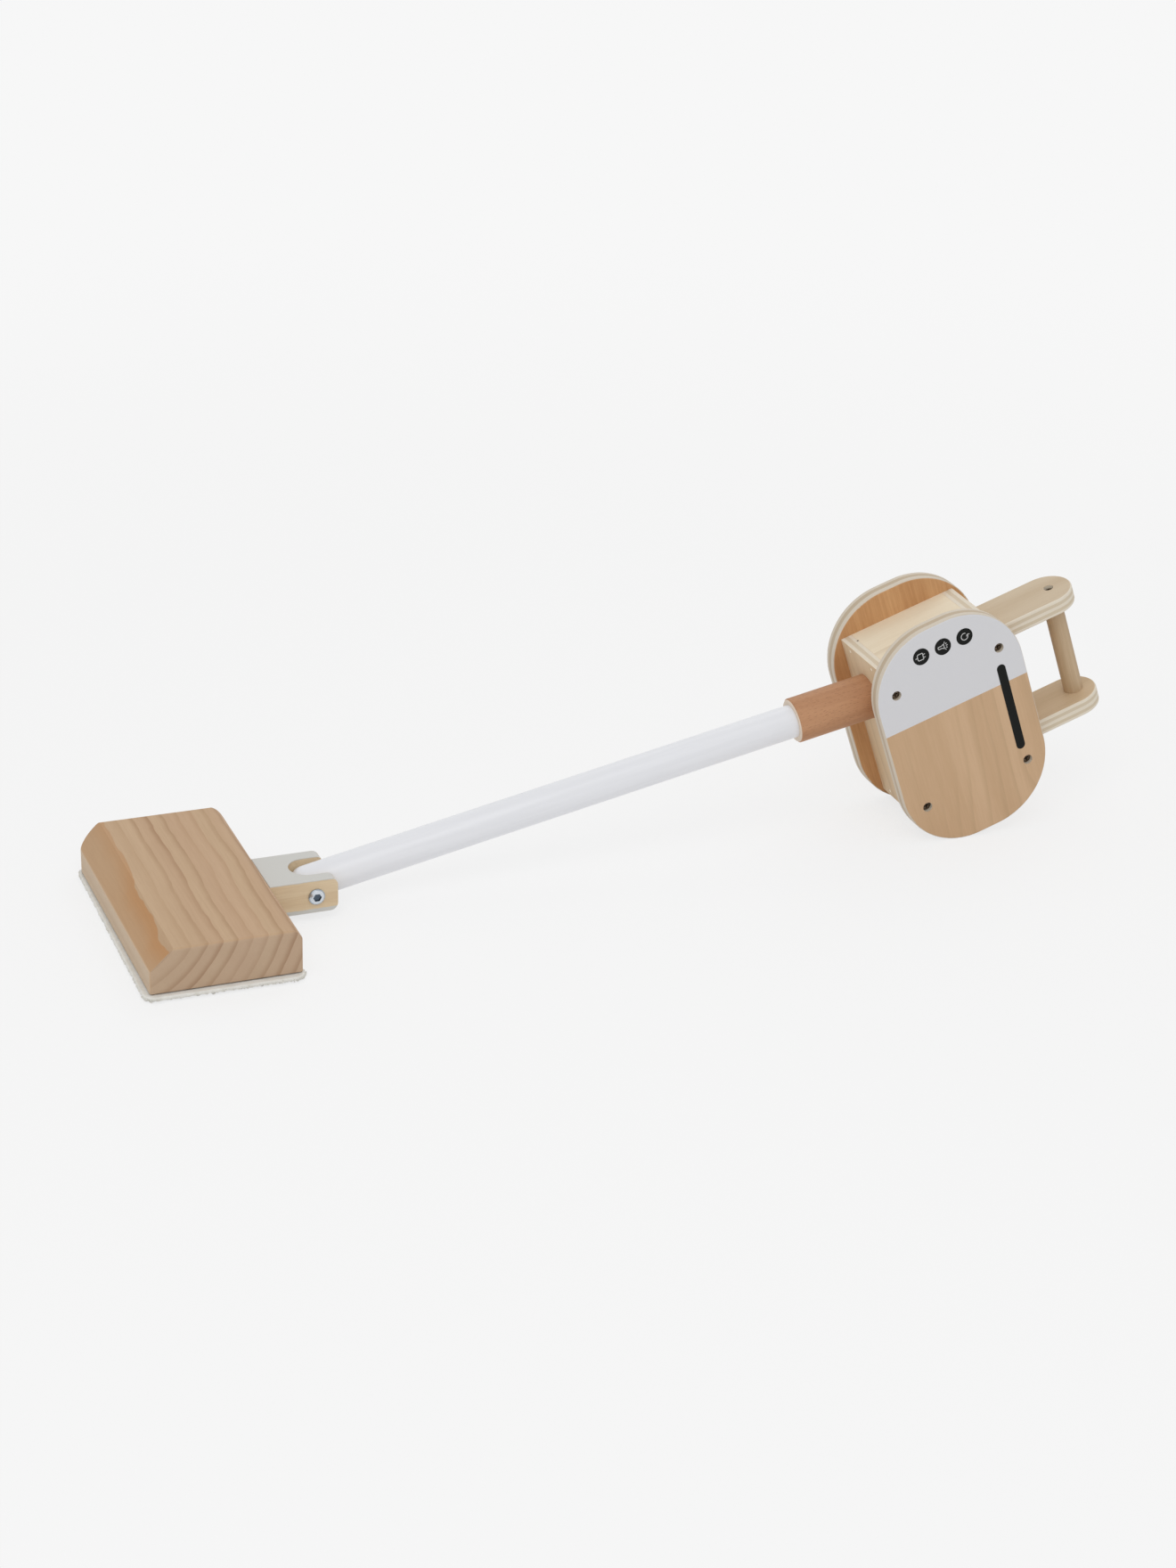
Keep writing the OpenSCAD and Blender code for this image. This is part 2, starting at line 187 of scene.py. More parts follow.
def noise(vector, scale=1.0, detail=2.0, roughness=0.5):
    sockets = {"Vector": vector, "Scale": scale, "Detail": detail, "Roughness": roughness}
    return vector.node("ShaderNodeTexNoise", None, sockets)


# Object coordinates in metres, turned into a body's own frame
def pointIn(wires, place):
    point = wires.node("ShaderNodeTexCoord", out="Object")
    sockets = {"Vector": point, "Location": place["origin"], "Rotation": (0, -place["tilt"], 0)}
    return wires.node("ShaderNodeMapping", dict(vector_type="TEXTURE"), sockets)


def newMaterial(name, constants):
    material = bpy.data.materials.new(name)
    material.use_nodes = True
    shader = material.node_tree.nodes["Principled BSDF"]
    for key, value in constants.items():
        shader.inputs[key].default_value = value
    return material, Wire(material.node_tree), shader


def plug(wire, shader, socket):
    wire.tree.links.new(wire.socket, shader.inputs[socket])


# What changes over a surface, plugged into its shader
def finishSurface(shader, look, colour, rough=None, height=None):
    plug(colour, shader, "Base Color")
    if rough:
        plug(rough, shader, "Roughness")
    if height:
        sockets = {"Height": height, "Strength": look["bump"], "Distance": look["bumpDepth"]}
        plug(height.node("ShaderNodeBump", None, sockets), shader, "Normal")


def dress(material, *nodeNames):
    for nodeName in nodeNames:
        slots = nodes[nodeName].data.materials
        slots.clear()
        slots.append(material)


# Broad streaks and fine fibres along a grain, both from 0 to 1
def fibres(along, side, deep, look):
    axes = (along, side, deep)
    broad = scaled(axes, (look["broadAlong"], look["broadAcross"], look["broadAcross"]))
    fine = scaled(axes, (look["fineAlong"], look["fineAcross"], look["fineAcross"]))
    return noise(broad, detail=3.0), noise(fine, detail=4.0, roughness=0.65)


# Both mixed to one tone, from dark to pale wood
def woodTone(broad, fine, look):
    share = look["fineShare"]
    return softStep(broad * (1 - share) + fine * share, *look["toneRange"])


# Foot: pine with real growth rings round a pith that lies ahead of the block and above it
pine = dict(
    pithAhead=85 * mm, pithAbove=57 * mm, ring=8.6 * mm, lastRing=68.2 * mm,
    # How far the rings waver, and how stiff they are near the bevel
    sway=2.8 * mm, swayGrain=(9.0, 13.0, 9.0), ripple=1.1 * mm, rippleGrain=(50.0, 70.0, 50.0),
    stiff=0.12, stiffZone=(1 * mm, 14 * mm),
    # Late wood as a part of each ring, its strength by the year, and where it fades
    late=(0.3, 0.97), lateEnd=(0.965, 1.0), lateShare=0.46, blushShare=0.45,
    strongYear=2.0, strongEvery=5.0, strongMean=0.64, strongSwing=0.36,
    fadeLow=0.55, fadeSwing=0.6, fadeGrain=(40.0, 16.0, 40.0), fadeRange=(0.3, 0.7),
    # End grain and front face, measured from the block's own edges
    endZone=(-0.8 * mm, -0.1 * mm), endShare=0.5, endLines=0.4,
    frontZone=(0.2 * mm, 0.8 * mm), frontShare=0.45,
    toneRange=(0.3, 0.7), fibreMean=0.1, fibreSwing=0.45,
    pale=tint(200, 171, 138), mid=tint(192, 162, 129), dark=tint(142, 102, 68), glow=tint(186, 134, 83),
    blush=tint(191, 155, 125), end=tint(184, 162, 141), front=tint(208, 192, 170), fibre=tint(158, 122, 90),
    broadAlong=3.0, broadAcross=70.0, fineAlong=40.0, fineAcross=900.0,
    specular=0.3, rough=0.56, roughLate=0.12, bumpFine=0.6, bumpLate=0.3, bump=0.2, bumpDepth=0.4 * mm,
)
# The bevel runs along a late band, which shows there as one broad warm patch, and towards the far end it
# leans onto the flat top as painted shade of a rounded corner the block lacks, with leanFrom, farFrom and
# farTo as shares of the block's half length
bevelPatch = dict(
    start=1.3 * mm, wide=15.4 * mm, edge=(-0.2 * mm, 0.3 * mm), lean=3.6 * mm, leanFrom=0.6,
    wave=5.2 * mm, waves=17.0, waveLevel=2.0, waveRange=(0.35, 0.75),
    glowLow=0.3, glowSwing=0.5, glowZone=(-11 * mm, -1 * mm), farLoss=0.45, farFrom=0.4, farTo=0.8,
)


# Late wood, the same weighted by the year, and the year
def pineRings(axes):
    x, y, z = axes
    ahead = x + pine["pithAhead"]
    above = z - pine["pithAbove"]
    beyond = (ahead * ahead + above * above).math("SQRT") - pine["lastRing"]
    # The rings sway along the block, less so next to the bevel, which lies along one of them
    free = pine["stiff"] + (1 - pine["stiff"]) * softStep(beyond, *pine["stiffZone"])
    sway = noise(scaled(axes, pine["swayGrain"]), detail=1.0, roughness=0.4) - 0.5
    ripple = noise(scaled(axes, pine["rippleGrain"])) - 0.5
    swing = sway * (2 * pine["sway"]) + ripple * (2 * pine["ripple"])
    rings = (beyond + free * swing) / pine["ring"]
    # Early wood darkens slowly to a late line, then the next ring starts pale
    turn = rings.math("FRACT")
    late = softStep(turn, *pine["late"]) * (1 - softStep(turn, *pine["lateEnd"]))
    late = late * late
    # Wet and dry years: some late lines are strong and some are faint
    year = rings.math("FLOOR") - pine["strongYear"]
    weight = (year * (2 * math.pi / pine["strongEvery"])).math("COSINE")
    return late, late * (weight * pine["strongSwing"] + pine["strongMean"]), year


# Where the bevel's patch lies, with its painted shade towards the far corner, and how warm it glows
def patchOnBevel(axes, low, high):
    x, y, z = axes
    wavePlace = combine(x, 0.0, y * bevelPatch["waves"], bevelPatch["waveLevel"])
    wave = noise(wavePlace, detail=3.0, roughness=0.45)
    # The lean widens the patch towards the far end: painted shade of a rounded corner
    lean = softStep(y, low.y * bevelPatch["leanFrom"], high.y) * bevelPatch["lean"]
    wave = softStep(wave, *bevelPatch["waveRange"]) * bevelPatch["wave"]
    border = low.x + bevelPatch["wide"] + lean - wave
    patch = softStep(border - x, *bevelPatch["edge"]) * softStep(x, low.x, low.x + bevelPatch["start"])
    glow = bevelPatch["glowLow"] + bevelPatch["glowSwing"] * softStep(x - border, *bevelPatch["glowZone"])
    far = softStep(y, low.y * bevelPatch["farFrom"], high.y * bevelPatch["farTo"])
    return patch, glow * (1 - bevelPatch["farLoss"] * far)


def pineWood():
    material, wires, shader = newMaterial("barePine", {"Specular IOR Level": pine["specular"]})
    x, y, z = axes = parts(pointIn(wires, footFrame))
    low, high = ownBox("foot_block", footFrame)
    late, lines, year = pineRings(axes)
    broad, fine = fibres(y, x, z, pine)
    colour = mixColour(softStep(broad, *pine["toneRange"]), pine["mid"], pine["pale"])
    yearTone = wires.node("ShaderNodeTexWhiteNoise", dict(noise_dimensions="1D"), {"W": year})
    colour = mixColour(yearTone * pine["blushShare"], colour, pine["blush"])
    fade = softStep(noise(scaled(axes, pine["fadeGrain"])), *pine["fadeRange"])
    fade = pine["fadeLow"] + pine["fadeSwing"] * fade
    colour = mixColour(lines * fade * pine["lateShare"], colour, pine["dark"])
    ends = softStep(abs(y) - high.y, *pine["endZone"])
    patch, glow = patchOnBevel(axes, low, high)
    patch = patch * (1 - ends)
    colour = mixColour(patch, colour, pine["mid"])
    colour = mixColour(patch * glow, colour, pine["glow"])
    colour = mixColour((fine - 0.5) * pine["fibreSwing"] + pine["fibreMean"], colour, pine["fibre"])
    # The front face is paler, and end grain is greyer than the faces
    front = 1 - softStep(x - low.x, *pine["frontZone"])
    colour = mixColour(front * pine["frontShare"], colour, pine["front"])
    colour = mixColour(ends * pine["endShare"], colour, pine["end"])
    colour = mixColour(ends * lines * pine["endLines"], colour, pine["dark"])
    rough = pine["rough"] + late * pine["roughLate"]
    finishSurface(shader, pine, colour, rough, fine * pine["bumpFine"] - late * pine["bumpLate"])
    return material


# Hinge block: pale wood, painted white over its top and bottom
hingeFinish = dict(
    pale=tint(226, 206, 174), dark=tint(208, 182, 146), white=tint(203, 202, 197),
    fineShare=0.3, toneRange=(0.3, 0.7), facing=(0.55, 0.8), ragged=260.0,
    lapZone=(-2.9 * mm, -2.6 * mm), lapRagged=1.2 * mm, rimZone=(-0.6 * mm, -0.3 * mm), rimRagged=0.8 * mm,
    broadAlong=6.0, broadAcross=120.0, fineAlong=60.0, fineAcross=1100.0,
    specular=0.35, rough=0.58, roughPaint=0.14, smoothPaint=0.7, bump=0.2, bumpDepth=0.3 * mm,
)


def hingeWood():
    material, wires, shader = newMaterial("hingeWood", {"Specular IOR Level": hingeFinish["specular"]})
    point = pointIn(wires, hingeFrame)
    x, y, z = parts(point)
    low, high = ownBox("hinge_block", hingeFrame)
    half = (high.z - low.z) / 2
    broad, fine = fibres(x, y, z, hingeFinish)
    colour = mixColour(woodTone(broad, fine, hingeFinish), hingeFinish["dark"], hingeFinish["pale"])
    # Paint covers what faces up or down, and laps over the edges, further at the bottom
    normal = parts(wires.node("ShaderNodeTexCoord", out="Normal"))
    flat = softStep(abs(normal[axisZ]), *hingeFinish["facing"])
    ragged = noise(point, hingeFinish["ragged"], detail=3.0, roughness=0.6) - 0.5
    lap = softStep(ragged * hingeFinish["lapRagged"] - z - half, *hingeFinish["lapZone"])
    rim = softStep(ragged * hingeFinish["rimRagged"] + z - half, *hingeFinish["rimZone"])
    paint = flat.math("MAXIMUM", lap).math("MAXIMUM", rim)
    colour = mixColour(paint, colour, hingeFinish["white"])
    rough = hingeFinish["rough"] - paint * hingeFinish["roughPaint"]
    finishSurface(shader, hingeFinish, colour, rough, fine * (1 - paint * hingeFinish["smoothPaint"]))
    return material


# Beech of the sleeve: reddish, with short dark flecks along the grain
beech = dict(
    pale=tint(193, 145, 108), dark=tint(178, 130, 94), fineShare=0.25, toneRange=(0.34, 0.66),
    fleck=tint(138, 92, 64), fleckGrain=(230.0, 1500.0, 1500.0), fleckSize=(0.16, 0.34), fleckShare=0.45,
    cut=tint(226, 210, 192), cutZone=(0.3 * mm, 0.7 * mm),
    broadAlong=8.0, broadAcross=130.0, fineAlong=60.0, fineAcross=1300.0,
    specular=0.35, rough=0.5, roughFine=0.14, fleckDepth=0.6, bump=0.22, bumpDepth=0.3 * mm,
)


def beechWood():
    material, wires, shader = newMaterial("bareBeech", {"Specular IOR Level": beech["specular"]})
    x, y, z = axes = parts(pointIn(wires, wandFrame))
    broad, fine = fibres(x, y, z, beech)
    colour = mixColour(woodTone(broad, fine, beech), beech["dark"], beech["pale"])
    cells = {"Vector": scaled(axes, beech["fleckGrain"]), "Scale": 1.0, "Randomness": 1.0}
    flecks = 1 - softStep(wires.node("ShaderNodeTexVoronoi", None, cells), *beech["fleckSize"])
    colour = mixColour(flecks * beech["fleckShare"], colour, beech["fleck"])
    # The broken edge of the cut end is paler than the turned face
    low, high = ownBox("sleeve", wandFrame)
    colour = mixColour(1 - softStep(x - low.x, *beech["cutZone"]), colour, beech["cut"])
    rough = beech["rough"] + fine * beech["roughFine"]
    finishSurface(shader, beech, colour, rough, fine - flecks * beech["fleckDepth"])
    return material


# White lacquer of the stick, with the faint ripple of the wood under it
lacquer = dict(
    tone=tint(233, 234, 238), shade=tint(230, 231, 235), toneRange=(0.35, 0.65),
    rippleGrain=(12.0, 260.0, 260.0), peel=420.0, specular=0.45, coat=0.25, coatRough=0.2,
    rough=0.3, roughPeel=0.12, bumpRipple=0.3, bumpPeel=0.5, bump=0.06, bumpDepth=0.2 * mm,
)


def lacquerWhite():
    material, wires, shader = newMaterial("whiteLacquer", {
        "Specular IOR Level": lacquer["specular"],
        "Coat Weight": lacquer["coat"], "Coat Roughness": lacquer["coatRough"]})
    point = pointIn(wires, wandFrame)
    ripple = noise(scaled(parts(point), lacquer["rippleGrain"]), detail=3.0)
    peel = noise(point, lacquer["peel"])
    colour = mixColour(softStep(ripple, *lacquer["toneRange"]), lacquer["shade"], lacquer["tone"])
    rough = lacquer["rough"] + peel * lacquer["roughPeel"]
    height = ripple * lacquer["bumpRipple"] + peel * lacquer["bumpPeel"]
    finishSurface(shader, lacquer, colour, rough, height)
    return material


# Plywood: face veneer over layers that show on every cut edge
plywood = dict(
    boxLayers=3, armLayers=5, panelLayers=3, layerEdge=(-0.25, 0.25), waver=0.5 * mm, waves=70.0,
    glueLine=tint(176, 146, 110), glueMean=0.06, glueSwing=0.4,
    # Depth of the face veneer, and the tone and lines on it
    faceZone=(0.1 * mm, 0.3 * mm), innerZone=(0.0, 1 * mm), fineShare=0.35, toneRange=(0.3, 0.7),
    lineCount=75.0, lineDrift=6.0, lineShare=0.3, line=(0.55, 0.96), lineEnd=(0.96, 1.0),
    driftGrain=(4.0, 15.0, 40.0), driftRange=(0.4, 0.62),
    # The open spot in the front joint, dark with painted shade
    nickShade=tint(48, 34, 22), nickEdge=(0.5 * mm, 0.9 * mm), nickAside=18 * mm, nickDeep=0.4 * mm,
    broadAlong=4.0, broadAcross=60.0, fineAlong=45.0, fineAcross=1000.0,
    specular=0.35, rough=0.52, roughFine=0.12, bumpFine=0.8, bumpLayer=0.3, bump=0.18, bumpDepth=0.3 * mm,
)
veneers = dict(
    box=(tint(224, 202, 169), tint(213, 188, 153)),
    top=(tint(238, 226, 202), tint(228, 213, 186)),
    upperArm=(tint(206, 188, 162), tint(193, 172, 143)),
    # The lower arm's copy is warmer and darker than the upper arm's: painted shade, as it lies in shadow
    lowerArmShaded=(tint(206, 182, 150), tint(191, 165, 130)),
    panel=(tint(209, 176, 141), tint(197, 163, 127)),
    # The panels' inner faces get a warmer orange copy of the panel veneer: painted warm reflected light
    # inside the body
    inner=(tint(220, 176, 128), tint(188, 138, 92)),
)
cutEdges = dict(
    box=(tint(230, 221, 204), tint(213, 199, 175)),
    panel=(tint(213, 203, 187), tint(191, 174, 150)),
)
# Paint on the panels' outer faces, down to a straight line
panelPaint = dict(
    colour=tint(216, 216, 219), line=18 * mm, lineEdge=(-0.1 * mm, 0.1 * mm), skin=(-0.35 * mm, -0.2 * mm),
    rough=0.42, smooth=0.85,
)


# Growth rings cut by the peeling knife: faint wavering lines along the grain
def knifeLines(along, side, level):
    alongScale, sideScale, levelScale = plywood["driftGrain"]
    drift = noise(combine(along, along * alongScale, side * sideScale, level * levelScale))
    lines = (side * plywood["lineCount"] + drift * plywood["lineDrift"]).math("FRACT")
    line = softStep(lines, *plywood["line"]) * (1 - softStep(lines, *plywood["lineEnd"]))
    return line * softStep(drift, *plywood["driftRange"])


# The board is thin along one of the body's axes and has its grain along another
def plywoodBoard(nodeName, thin, grainAxis, layers, veneer, cut, paintSide=0, inner=None, nick=None):
    material, wires, shader = newMaterial(nodeName + "Ply", {"Specular IOR Level": plywood["specular"]})
    low, high = ownBox(nodeName, bodyFrame)
    middle = (low[thin] + high[thin]) / 2
    half = (high[thin] - low[thin]) / 2
    point = pointIn(wires, bodyFrame)
    axes = parts(point)
    across = axes[thin] - middle
    along = axes[grainAxis]
    side = axes[axisX + axisY + axisZ - thin - grainAxis]  # the third axis
    broad, fine = fibres(along, side, across, plywood)
    depth = half - abs(across)
    waver = noise(point, plywood["waves"]) - 0.5
    stripe = ((depth + waver * plywood["waver"]) * (math.pi * layers / (2 * half))).math("SINE")
    colour = mixColour(softStep(stripe, *plywood["layerEdge"]), cut[1], cut[0])
    glue = (fine - 0.5) * plywood["glueSwing"] + plywood["glueMean"]
    colour = mixColour(glue, colour, plywood["glueLine"])
    tone = woodTone(broad, fine, plywood)
    face = mixColour(tone, veneer[1], veneer[0])
    face = mixColour(knifeLines(along, side, middle) * plywood["lineShare"], face, plywood["glueLine"])
    # Inner faces take the inner copy: painted warm reflected light
    if inner:
        reflectLitInnerFace = mixColour(tone, inner[1], inner[0])
        face = mixColour(softStep(across * -paintSide, *plywood["innerZone"]), face, reflectLitInnerFace)
    onFace = 1 - softStep(depth, *plywood["faceZone"])
    colour = mixColour(onFace, colour, face)
    rough = plywood["rough"] + fine * plywood["roughFine"]
    height = fine * plywood["bumpFine"] + stripe * (1 - onFace) * plywood["bumpLayer"]
    if paintSide:
        coat = softStep(across * paintSide - half, *panelPaint["skin"])
        coat = coat * softStep(axes[axisZ] - panelPaint["line"], *panelPaint["lineEdge"])
        colour = mixColour(coat, colour, panelPaint["colour"])
        rough = rough * (1 - coat) + coat * panelPaint["rough"]
        height = height * (1 - coat * panelPaint["smooth"])
    # Painted shade in the open spot of the joint
    if nick:
        spots = {0: point, 1: nick}
        apart = wires.node("ShaderNodeVectorMath", dict(operation="DISTANCE"), spots, out="Value")
        colour = mixColour(1 - softStep(apart, *plywood["nickEdge"]), colour, plywood["nickShade"])
    finishSurface(shader, plywood, colour, rough, height)
    dress(material, nodeName)


# Grip: round dowel with its grain along it
gripWood = dict(
    pale=tint(202, 178, 147), dark=tint(183, 157, 124), fineShare=0.3, toneRange=(0.32, 0.68),
    broadAlong=6.0, broadAcross=160.0, fineAlong=50.0, fineAcross=1300.0,
    specular=0.35, rough=0.5, roughFine=0.14, bump=0.2, bumpDepth=0.3 * mm,
)


def dowelWood():
    material, wires, shader = newMaterial("gripDowel", {"Specular IOR Level": gripWood["specular"]})
    x, y, z = parts(pointIn(wires, bodyFrame))
    broad, fine = fibres(z, x, y, gripWood)
    colour = mixColour(woodTone(broad, fine, gripWood), gripWood["dark"], gripWood["pale"])
    finishSurface(shader, gripWood, colour, gripWood["rough"] + fine * gripWood["roughFine"], fine)
    return material


# Screws: zinc, darkened and browned with painted shade because they lie deep in their wooden holes
screwHead = dict(
    low=tint(70, 58, 48), high=tint(122, 108, 94), cloud=700.0, rough=0.2, roughCloud=0.2,
    bump=0.1, bumpDepth=0.1 * mm,
)


def shadedScrewSteel():
    material, wires, shader = newMaterial("shadedScrewSteel", {"Metallic": 1.0})
    cloud = noise(pointIn(wires, footFrame), screwHead["cloud"], detail=3.0, roughness=0.6)
    colour = mixColour(cloud, screwHead["low"], screwHead["high"])
    finishSurface(shader, screwHead, colour, screwHead["rough"] + cloud * screwHead["roughCloud"], cloud)
    return material


# Bolt and nut: bright zinc, with painted shade dark in the socket and painted shade on the rounded rim
boltHead = dict(
    low=tint(186, 194, 204), high=tint(228, 232, 236), cloud=500.0, rough=0.18, roughCloud=0.2,
    socket=tint(44, 62, 78), socketShadeShare=0.9, socketDepth=(0.175 * mm, 0.35 * mm),
    socketEdge=(2.9 * mm, 3 * mm), rim=tint(120, 132, 142), rimShadeShare=0.55, rimEdge=(4.4 * mm, 4.7 * mm),
)


def boltSteel(name, nodeName, side):
    material, wires, shader = newMaterial(name, {"Metallic": 1.0})
    point = pointIn(wires, hingeFrame)
    x, y, z = parts(point)
    low, high = ownBox(nodeName, hingeFrame)
    depth = max(abs(low.y), abs(high.y)) - y * side
    reach = (x * x + z * z).math("SQRT")
    cloud = noise(point, boltHead["cloud"], detail=3.0, roughness=0.6)
    colour = mixColour(cloud, boltHead["low"], boltHead["high"])
    # Painted shade inside the hex socket
    socket = softStep(depth, *boltHead["socketDepth"]) * (1 - softStep(reach, *boltHead["socketEdge"]))
    colour = mixColour(socket * boltHead["socketShadeShare"], colour, boltHead["socket"])
    # Painted shade on the head's rounded rim
    rim = softStep(reach, *boltHead["rimEdge"])
    colour = mixColour(rim * boltHead["rimShadeShare"], colour, boltHead["rim"])
    finishSurface(shader, boltHead, colour, boltHead["rough"] + cloud * boltHead["roughCloud"])
    return material


# Filler over the pins of the front and back plate
filler = dict(low=tint(255, 250, 238), high=tint(253, 243, 224), speck=900.0, rough=0.6)


def fillerDots():
    material, wires, shader = newMaterial("fillerDots", {"Roughness": filler["rough"]})
    speck = noise(pointIn(wires, bodyFrame), filler["speck"])
    finishSurface(shader, filler, mixColour(speck, filler["low"], filler["high"]))
    return material


# Hook tape that holds the pad
tape = dict(
    low=tint(190, 188, 180), high=tint(232, 230, 224), hooks=1400.0,
    rough=0.8, bump=0.6, bumpDepth=0.4 * mm,
)


def hookTape():
    material, wires, shader = newMaterial("hookTape", {"Roughness": tape["rough"]})
    hooks = noise(pointIn(wires, footFrame), tape["hooks"], detail=1.0)
    finishSurface(shader, tape, mixColour(hooks, tape["low"], tape["high"]), height=hooks)
    return material


# Dress the CAD nodes
dress(pineWood(), "foot_block", "wand_block")
dress(hingeWood(), "hinge_block")
dress(beechWood(), "sleeve", "hinge_dowels")
dress(lacquerWhite(), "stick")
dress(dowelWood(), "grip")
dress(hookTape(), "hook_strips")
dress(boltSteel("boltSteel", "pivot_bolt", -1), "pivot_bolt")
dress(boltSteel("nutSteel", "pivot_nut", 1), "pivot_nut")
dress(shadedScrewSteel(), "left_panel_screws", "right_panel_screws", "grip_screws")
dress(fillerDots(), "front_plate_pins", "back_plate_pins")

# A small open spot in the joint between front and top plate, painted dark as the shade inside it
topLow, topHigh = ownBox("top_plate", bodyFrame)
cornerNick = (topLow.x - plywood["nickDeep"], plywood["nickAside"], topHigh.z)

for nodeName in ("front_plate", "back_plate"):
    plywoodBoard(
        nodeName, axisX, axisZ, plywood["boxLayers"], veneers["box"], cutEdges["box"], nick=cornerNick)
for nodeName in ("top_plate", "bottom_plate"):
    plywoodBoard(
        nodeName, axisZ, axisX, plywood["boxLayers"], veneers["top"], cutEdges["box"], nick=cornerNick)
for nodeName, veneer in (("upper_arm", veneers["upperArm"]), ("lower_arm", veneers["lowerArmShaded"])):
    plywoodBoard(nodeName, axisZ, axisX, plywood["armLayers"], veneer, cutEdges["box"])
for nodeName, side in (("left_panel", -1), ("right_panel", 1)):
    plywoodBoard(
        nodeName, axisY, axisZ, plywood["panelLayers"], veneers["panel"], cutEdges["panel"],
        paintSide=side, inner=veneers["inner"])
print("CAD nodes dressed")


def finishPiece(name, bm, material, body):
    mesh = bpy.data.meshes.new(name)
    bmesh.ops.recalc_face_normals(bm, faces=bm.faces)
    bm.to_mesh(mesh)
    bm.free()
    mesh.materials.append(material)
    piece = bpy.data.objects.new(name, mesh)
    bpy.context.scene.collection.objects.link(piece)
    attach(piece, body)
    return piece


# Printed marks on the left panel, drawn in the panel's plane: x towards the handle, y up
marks = dict(
    firstX=-15 * mm, step=16 * mm, height=63 * mm, radius=5.8 * mm, discSides=48, inkHeight=0.1 * mm,
    barX=35.8 * mm, barTop=32 * mm, barBottom=-34 * mm, barWidth=6.2 * mm, barSteps=20,
    signUnit=6.6 * mm, lineWidth=0.45 * mm, lineLift=0.05 * mm, weld=0.005 * mm,
    arcStep=9, arcLeast=6,  # degrees in a step, and the fewest steps
)
ink = dict(
    black=tint(16, 18, 16), white=tint(222, 222, 222), darker=0.86, speck=1500.0,
    specular=0.15, rough=0.4, roughSpeck=0.14,
)
panelFace = Matrix.Translation(bodyMiddle) @ Matrix.Rotation(-bodyTilt, 4, "Y")
panelFace = panelFace @ Matrix.Translation((0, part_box("left_panel")[0].y, 0))
panelFace = panelFace @ Matrix.Rotation(math.pi / 2, 4, "X")


def printInk(name, colour):
    material, wires, shader = newMaterial(name, {"Specular IOR Level": ink["specular"]})
    speck = noise(pointIn(wires, bodyFrame), ink["speck"])
    darker = tuple(c * ink["darker"] for c in colour[:3]) + (1.0,)
    finishSurface(shader, ink, mixColour(speck, darker, colour), ink["rough"] + speck * ink["roughSpeck"])
    return material


def thicken(bm, faces, height):
    grown = bmesh.ops.extrude_face_region(bm, geom=faces)
    lifted = [g for g in grown["geom"] if isinstance(g, bmesh.types.BMVert)]
    bmesh.ops.translate(bm, verts=lifted, vec=(0, 0, height))


def markDisc(bm, x, y, radius):
    place = Matrix.Translation((x, y, 0))
    bmesh.ops.create_circle(bm, cap_ends=True, segments=marks["discSides"], radius=radius, matrix=place)


# An upright bar with round ends, as one face
def roundBar(bm, x, top, bottom, width):
    half = width / 2
    ends = []
    for side, middleY in ((1, top - half), (-1, bottom + half)):
        start = bm.verts.new((x + side * half, middleY, 0))
        arc = bmesh.ops.spin(
            bm, geom=[start], cent=(x, middleY, 0), axis=(0, 0, 1), angle=math.pi, steps=marks["barSteps"])
        ends += [start, *arc["geom_last"]]
    bm.edges.new((ends[1], ends[2]))
    bm.edges.new((ends[3], ends[0]))
    bmesh.ops.edgeloop_fill(bm, edges=[e for e in bm.edges if e.is_wire])


# A straight stroke with square ends
def stroke(bm, start, end, width):
    line = Vector(end) - Vector(start)
    middle = (Vector(start) + Vector(end)) / 2
    turn = Matrix.Rotation(math.atan2(line.y, line.x), 4, "Z")
    place = Matrix.Translation((middle.x, middle.y, 0)) @ turn
    place = place @ Matrix.Diagonal((line.length / 2, width / 2, 1, 1))
    bmesh.ops.create_grid(bm, x_segments=1, y_segments=1, size=1, matrix=place)


# A stroke along an arc, angles in degrees
def arcStroke(bm, centre, radius, width, start, end):
    a = math.radians(start)
    ray = Vector((math.cos(a), math.sin(a), 0))
    middle = Vector((centre[0], centre[1], 0))
    inner = bm.verts.new(middle + ray * (radius - width / 2))
    outer = bm.verts.new(middle + ray * (radius + width / 2))
    rung = bm.edges.new((inner, outer))
    steps = max(marks["arcLeast"], int(abs(end - start) / marks["arcStep"]))
    sweep = math.radians(end - start)
    bmesh.ops.spin(bm, geom=[inner, outer, rung], cent=middle, axis=(0, 0, 1), angle=sweep, steps=steps)


# A plug, a torch and a turning arrow, in sign units from the button's middle
signShapes = dict(
    plugBack=-0.4, plugFront=0.2, plugHalf=0.34, plugCorner=0.14,
    plugPins=(-0.17, 0.17), plugPin=0.24, cable=0.24,
    torchGrip=0.13, torchHead=0.27, torchBack=-0.52, torchNeck=-0.10, torchFront=0.12,
    rayNear=0.34, rayFar=0.52, rayTurns=(-58, -29, 0, 29, 58),
    ringRadius=0.36, ringStart=62, ringEnd=385, arrowBarbs=((0.24, -0.096), (-0.12, -0.216)),
)


def signPlug(draw):
    shape = signShapes
    back = shape["plugBack"]
    front = shape["plugFront"]
    half = shape["plugHalf"]
    corner = shape["plugCorner"]
    draw.line((front, -half), (front, half))
    draw.line((back, corner - half), (back, half - corner))
    for side, start in ((-1, 180), (1, 90)):
        draw.line((back + corner, side * half), (front, side * half))
        draw.arc((back + corner, side * (half - corner)), corner, start, start + 90)
    for level in shape["plugPins"]:
        draw.line((front, level), (front + shape["plugPin"], level))
    draw.line((back - shape["cable"], 0), (back, 0))


